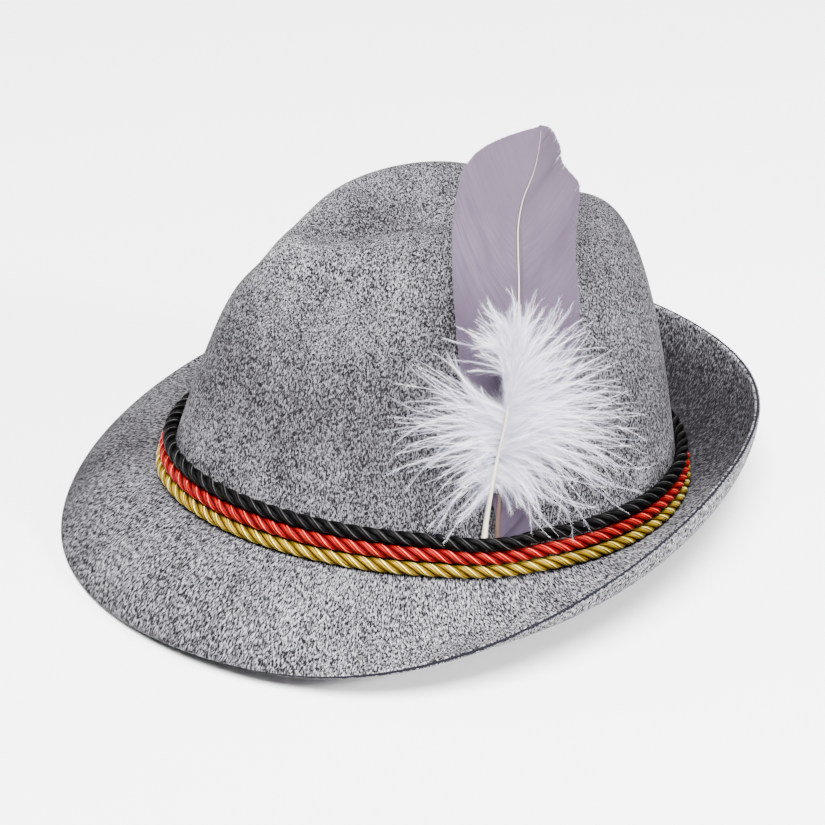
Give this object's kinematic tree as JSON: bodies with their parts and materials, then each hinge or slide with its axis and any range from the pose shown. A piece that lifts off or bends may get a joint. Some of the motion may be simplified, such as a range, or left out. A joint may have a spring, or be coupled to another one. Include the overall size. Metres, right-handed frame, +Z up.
{
  "type": "tyrolean hat",
  "caption": "Felt tyrolean hat with a creased crown and turned-up brim, twisted black, red and gold cords, a long feather and marabou fluff.",
  "frame": {"origin": "centre of the bounding box, on the surface that the hat rests on", "axes": "+Z up, -Y towards the hat's front, +X towards the wearer's left, where the feathers are"},
  "size_m": [0.2706, 0.2814, 0.1726],
  "materials": {
    "felt": "heather grey pressed felt, matt",
    "black_cord": "twisted black cord, silky",
    "red_cord": "twisted red cord, silky",
    "gold_cord": "twisted gold cord, metallic sheen",
    "feather": "mauve-grey feather with a cream shaft",
    "down": "white marabou down"
  },
  "bodies": {
    "root": {"felt_body": "felt", "cord_black": "black_cord", "cord_red": "red_cord", "cord_gold": "gold_cord", "long_feather": "feather", "marabou_feather": "down"}
  },
  "joints": []
}
